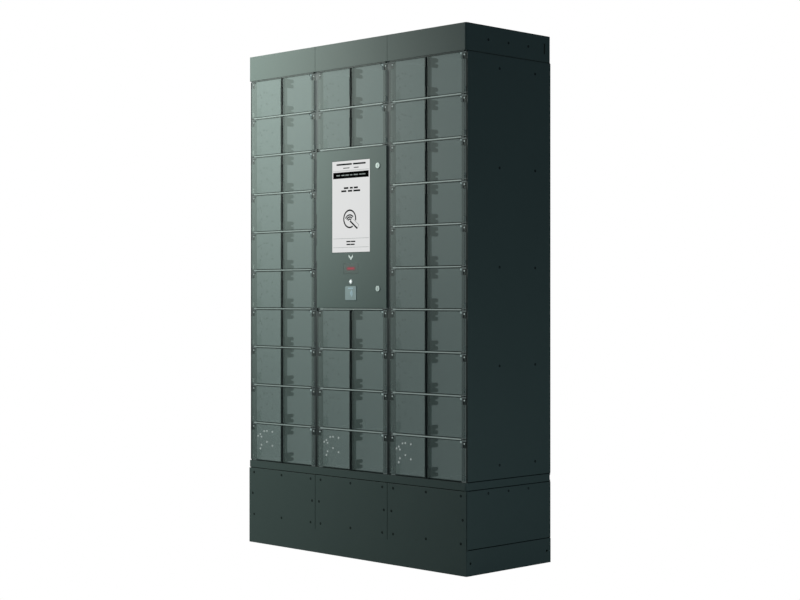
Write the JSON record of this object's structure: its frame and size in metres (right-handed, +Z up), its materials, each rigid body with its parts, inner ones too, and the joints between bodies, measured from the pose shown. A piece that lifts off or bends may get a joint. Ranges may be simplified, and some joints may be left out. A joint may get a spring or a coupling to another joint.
{
  "type": "charging locker",
  "caption": "Free-standing charging locker: columns of small clear hinged doors on lit cells round a control panel with a screen, under a plain header and on a screwed plinth.",
  "frame": {"origin": "on the floor under the middle of the cabinet", "axes": "+X to the right seen from the front, +Y from the front to the back, +Z up"},
  "size_m": [1.2, 0.467, 1.97],
  "materials": {
    "outer_paint": "satin powder coat",
    "inner_paint": "matt powder coat",
    "shelf_metal": "satin, light front bars",
    "hinge_black": "black",
    "smoked_pane": "clear, smoked",
    "latch_steel": "zinc plated",
    "light_lens": "clear, lit",
    "port_black": "moulded",
    "supply_metal": "extruded, matt",
    "screen": "lit screen",
    "scanner_black": "dark window",
    "reader_pale": "moulded",
    "bright_metal": "bright"
  },
  "bodies": {
    "cabinet": {"carcass": "inner_paint", "shelves": "shelf_metal", "header": "outer_paint", "side_panels": "outer_paint", "plinth_frame": "outer_paint", "plinth_panels": "outer_paint", "door_hinges": "hinge_black", "latches": "latch_steel", "indicator_lights": "light_lens", "charging_ports": "port_black", "power_supply": "supply_metal"},
    "control_panel": {"control_door": "outer_paint", "display": "screen", "scanner_window": "scanner_black", "card_reader": "reader_pale", "round_lens": "bright_metal"},
    "cam_lock_upper": {"cam_lock_upper": "bright_metal"},
    "cam_lock_lower": {"cam_lock_lower": "bright_metal"},
    "doors_centre_a": {"doors_centre_a": "smoked_pane"},
    "doors_centre_b": {"doors_centre_b": "smoked_pane"},
    "door_left_a01": {"door_left_a01": "smoked_pane"},
    "door_left_a02": {"door_left_a02": "smoked_pane"},
    "door_left_a03": {"door_left_a03": "smoked_pane"},
    "door_left_a04": {"door_left_a04": "smoked_pane"},
    "door_left_a05": {"door_left_a05": "smoked_pane"},
    "door_left_a06": {"door_left_a06": "smoked_pane"},
    "door_left_a07": {"door_left_a07": "smoked_pane"},
    "door_left_a08": {"door_left_a08": "smoked_pane"},
    "door_left_a09": {"door_left_a09": "smoked_pane"},
    "door_left_a10": {"door_left_a10": "smoked_pane"},
    "door_left_b01": {"door_left_b01": "smoked_pane"},
    "door_left_b02": {"door_left_b02": "smoked_pane"},
    "door_left_b03": {"door_left_b03": "smoked_pane"},
    "door_left_b04": {"door_left_b04": "smoked_pane"},
    "door_left_b05": {"door_left_b05": "smoked_pane"},
    "door_left_b06": {"door_left_b06": "smoked_pane"},
    "door_left_b07": {"door_left_b07": "smoked_pane"},
    "door_left_b08": {"door_left_b08": "smoked_pane"},
    "door_left_b09": {"door_left_b09": "smoked_pane"},
    "door_left_b10": {"door_left_b10": "smoked_pane"},
    "door_right_a01": {"door_right_a01": "smoked_pane"},
    "door_right_a02": {"door_right_a02": "smoked_pane"},
    "door_right_a03": {"door_right_a03": "smoked_pane"},
    "door_right_a04": {"door_right_a04": "smoked_pane"},
    "door_right_a05": {"door_right_a05": "smoked_pane"},
    "door_right_a06": {"door_right_a06": "smoked_pane"},
    "door_right_a07": {"door_right_a07": "smoked_pane"},
    "door_right_a08": {"door_right_a08": "smoked_pane"},
    "door_right_a09": {"door_right_a09": "smoked_pane"},
    "door_right_a10": {"door_right_a10": "smoked_pane"},
    "door_right_b01": {"door_right_b01": "smoked_pane"},
    "door_right_b02": {"door_right_b02": "smoked_pane"},
    "door_right_b03": {"door_right_b03": "smoked_pane"},
    "door_right_b04": {"door_right_b04": "smoked_pane"},
    "door_right_b05": {"door_right_b05": "smoked_pane"},
    "door_right_b06": {"door_right_b06": "smoked_pane"},
    "door_right_b07": {"door_right_b07": "smoked_pane"},
    "door_right_b08": {"door_right_b08": "smoked_pane"},
    "door_right_b09": {"door_right_b09": "smoked_pane"},
    "door_right_b10": {"door_right_b10": "smoked_pane"}
  },
  "joints": [
    {"name": "control_panel_hinge", "type": "hinge", "parent": "cabinet", "child": "control_panel", "pos_m": [-0.1955, -0.2265, 1.256], "axis": [0, 0, -1], "range_deg": [0, 100]},
    {"name": "cam_lock_upper_turn", "type": "hinge", "parent": "control_panel", "child": "cam_lock_upper", "pos_m": [0.148, -0.2265, 1.487], "axis": [0, -1, 0], "range_deg": [0, 90]},
    {"name": "cam_lock_lower_turn", "type": "hinge", "parent": "control_panel", "child": "cam_lock_lower", "pos_m": [0.148, -0.2265, 1.026], "axis": [0, -1, 0], "range_deg": [0, 90]},
    {"name": "doors_centre_a_hinge", "type": "hinge", "parent": "cabinet", "child": "doors_centre_a", "pos_m": [-0.00475, -0.2265, 0.64], "axis": [0, 0, 1], "range_deg": [0, 90]},
    {"name": "doors_centre_b_hinge", "type": "hinge", "parent": "cabinet", "child": "doors_centre_b", "pos_m": [0.00475, -0.2265, 0.64], "axis": [0, 0, -1], "range_deg": [0, 90]},
    {"name": "door_left_a01_hinge", "type": "hinge", "parent": "cabinet", "child": "door_left_a01", "pos_m": [-0.40475, -0.2265, 1.795], "axis": [0, 0, 1], "range_deg": [0, 90]},
    {"name": "door_left_a02_hinge", "type": "hinge", "parent": "cabinet", "child": "door_left_a02", "pos_m": [-0.40475, -0.2265, 1.641], "axis": [0, 0, 1], "range_deg": [0, 90]},
    {"name": "door_left_a03_hinge", "type": "hinge", "parent": "cabinet", "child": "door_left_a03", "pos_m": [-0.40475, -0.2265, 1.487], "axis": [0, 0, 1], "range_deg": [0, 90]},
    {"name": "door_left_a04_hinge", "type": "hinge", "parent": "cabinet", "child": "door_left_a04", "pos_m": [-0.40475, -0.2265, 1.333], "axis": [0, 0, 1], "range_deg": [0, 90]},
    {"name": "door_left_a05_hinge", "type": "hinge", "parent": "cabinet", "child": "door_left_a05", "pos_m": [-0.40475, -0.2265, 1.179], "axis": [0, 0, 1], "range_deg": [0, 90]},
    {"name": "door_left_a06_hinge", "type": "hinge", "parent": "cabinet", "child": "door_left_a06", "pos_m": [-0.40475, -0.2265, 1.025], "axis": [0, 0, 1], "range_deg": [0, 90]},
    {"name": "door_left_a07_hinge", "type": "hinge", "parent": "cabinet", "child": "door_left_a07", "pos_m": [-0.40475, -0.2265, 0.871], "axis": [0, 0, 1], "range_deg": [0, 90]},
    {"name": "door_left_a08_hinge", "type": "hinge", "parent": "cabinet", "child": "door_left_a08", "pos_m": [-0.40475, -0.2265, 0.717], "axis": [0, 0, 1], "range_deg": [0, 90]},
    {"name": "door_left_a09_hinge", "type": "hinge", "parent": "cabinet", "child": "door_left_a09", "pos_m": [-0.40475, -0.2265, 0.563], "axis": [0, 0, 1], "range_deg": [0, 90]},
    {"name": "door_left_a10_hinge", "type": "hinge", "parent": "cabinet", "child": "door_left_a10", "pos_m": [-0.40475, -0.2265, 0.409], "axis": [0, 0, 1], "range_deg": [0, 90]},
    {"name": "door_left_b01_hinge", "type": "hinge", "parent": "cabinet", "child": "door_left_b01", "pos_m": [-0.39525, -0.2265, 1.795], "axis": [0, 0, -1], "range_deg": [0, 90]},
    {"name": "door_left_b02_hinge", "type": "hinge", "parent": "cabinet", "child": "door_left_b02", "pos_m": [-0.39525, -0.2265, 1.641], "axis": [0, 0, -1], "range_deg": [0, 90]},
    {"name": "door_left_b03_hinge", "type": "hinge", "parent": "cabinet", "child": "door_left_b03", "pos_m": [-0.39525, -0.2265, 1.487], "axis": [0, 0, -1], "range_deg": [0, 90]},
    {"name": "door_left_b04_hinge", "type": "hinge", "parent": "cabinet", "child": "door_left_b04", "pos_m": [-0.39525, -0.2265, 1.333], "axis": [0, 0, -1], "range_deg": [0, 90]},
    {"name": "door_left_b05_hinge", "type": "hinge", "parent": "cabinet", "child": "door_left_b05", "pos_m": [-0.39525, -0.2265, 1.179], "axis": [0, 0, -1], "range_deg": [0, 90]},
    {"name": "door_left_b06_hinge", "type": "hinge", "parent": "cabinet", "child": "door_left_b06", "pos_m": [-0.39525, -0.2265, 1.025], "axis": [0, 0, -1], "range_deg": [0, 90]},
    {"name": "door_left_b07_hinge", "type": "hinge", "parent": "cabinet", "child": "door_left_b07", "pos_m": [-0.39525, -0.2265, 0.871], "axis": [0, 0, -1], "range_deg": [0, 90]},
    {"name": "door_left_b08_hinge", "type": "hinge", "parent": "cabinet", "child": "door_left_b08", "pos_m": [-0.39525, -0.2265, 0.717], "axis": [0, 0, -1], "range_deg": [0, 90]},
    {"name": "door_left_b09_hinge", "type": "hinge", "parent": "cabinet", "child": "door_left_b09", "pos_m": [-0.39525, -0.2265, 0.563], "axis": [0, 0, -1], "range_deg": [0, 90]},
    {"name": "door_left_b10_hinge", "type": "hinge", "parent": "cabinet", "child": "door_left_b10", "pos_m": [-0.39525, -0.2265, 0.409], "axis": [0, 0, -1], "range_deg": [0, 90]},
    {"name": "door_right_a01_hinge", "type": "hinge", "parent": "cabinet", "child": "door_right_a01", "pos_m": [0.39525, -0.2265, 1.795], "axis": [0, 0, 1], "range_deg": [0, 90]},
    {"name": "door_right_a02_hinge", "type": "hinge", "parent": "cabinet", "child": "door_right_a02", "pos_m": [0.39525, -0.2265, 1.641], "axis": [0, 0, 1], "range_deg": [0, 90]},
    {"name": "door_right_a03_hinge", "type": "hinge", "parent": "cabinet", "child": "door_right_a03", "pos_m": [0.39525, -0.2265, 1.487], "axis": [0, 0, 1], "range_deg": [0, 90]},
    {"name": "door_right_a04_hinge", "type": "hinge", "parent": "cabinet", "child": "door_right_a04", "pos_m": [0.39525, -0.2265, 1.333], "axis": [0, 0, 1], "range_deg": [0, 90]},
    {"name": "door_right_a05_hinge", "type": "hinge", "parent": "cabinet", "child": "door_right_a05", "pos_m": [0.39525, -0.2265, 1.179], "axis": [0, 0, 1], "range_deg": [0, 90]},
    {"name": "door_right_a06_hinge", "type": "hinge", "parent": "cabinet", "child": "door_right_a06", "pos_m": [0.39525, -0.2265, 1.025], "axis": [0, 0, 1], "range_deg": [0, 90]},
    {"name": "door_right_a07_hinge", "type": "hinge", "parent": "cabinet", "child": "door_right_a07", "pos_m": [0.39525, -0.2265, 0.871], "axis": [0, 0, 1], "range_deg": [0, 90]},
    {"name": "door_right_a08_hinge", "type": "hinge", "parent": "cabinet", "child": "door_right_a08", "pos_m": [0.39525, -0.2265, 0.717], "axis": [0, 0, 1], "range_deg": [0, 90]},
    {"name": "door_right_a09_hinge", "type": "hinge", "parent": "cabinet", "child": "door_right_a09", "pos_m": [0.39525, -0.2265, 0.563], "axis": [0, 0, 1], "range_deg": [0, 90]},
    {"name": "door_right_a10_hinge", "type": "hinge", "parent": "cabinet", "child": "door_right_a10", "pos_m": [0.39525, -0.2265, 0.409], "axis": [0, 0, 1], "range_deg": [0, 90]},
    {"name": "door_right_b01_hinge", "type": "hinge", "parent": "cabinet", "child": "door_right_b01", "pos_m": [0.40475, -0.2265, 1.795], "axis": [0, 0, -1], "range_deg": [0, 90]},
    {"name": "door_right_b02_hinge", "type": "hinge", "parent": "cabinet", "child": "door_right_b02", "pos_m": [0.40475, -0.2265, 1.641], "axis": [0, 0, -1], "range_deg": [0, 90]},
    {"name": "door_right_b03_hinge", "type": "hinge", "parent": "cabinet", "child": "door_right_b03", "pos_m": [0.40475, -0.2265, 1.487], "axis": [0, 0, -1], "range_deg": [0, 90]},
    {"name": "door_right_b04_hinge", "type": "hinge", "parent": "cabinet", "child": "door_right_b04", "pos_m": [0.40475, -0.2265, 1.333], "axis": [0, 0, -1], "range_deg": [0, 90]},
    {"name": "door_right_b05_hinge", "type": "hinge", "parent": "cabinet", "child": "door_right_b05", "pos_m": [0.40475, -0.2265, 1.179], "axis": [0, 0, -1], "range_deg": [0, 90]},
    {"name": "door_right_b06_hinge", "type": "hinge", "parent": "cabinet", "child": "door_right_b06", "pos_m": [0.40475, -0.2265, 1.025], "axis": [0, 0, -1], "range_deg": [0, 90]},
    {"name": "door_right_b07_hinge", "type": "hinge", "parent": "cabinet", "child": "door_right_b07", "pos_m": [0.40475, -0.2265, 0.871], "axis": [0, 0, -1], "range_deg": [0, 90]},
    {"name": "door_right_b08_hinge", "type": "hinge", "parent": "cabinet", "child": "door_right_b08", "pos_m": [0.40475, -0.2265, 0.717], "axis": [0, 0, -1], "range_deg": [0, 90]},
    {"name": "door_right_b09_hinge", "type": "hinge", "parent": "cabinet", "child": "door_right_b09", "pos_m": [0.40475, -0.2265, 0.563], "axis": [0, 0, -1], "range_deg": [0, 90]},
    {"name": "door_right_b10_hinge", "type": "hinge", "parent": "cabinet", "child": "door_right_b10", "pos_m": [0.40475, -0.2265, 0.409], "axis": [0, 0, -1], "range_deg": [0, 90]}
  ]
}
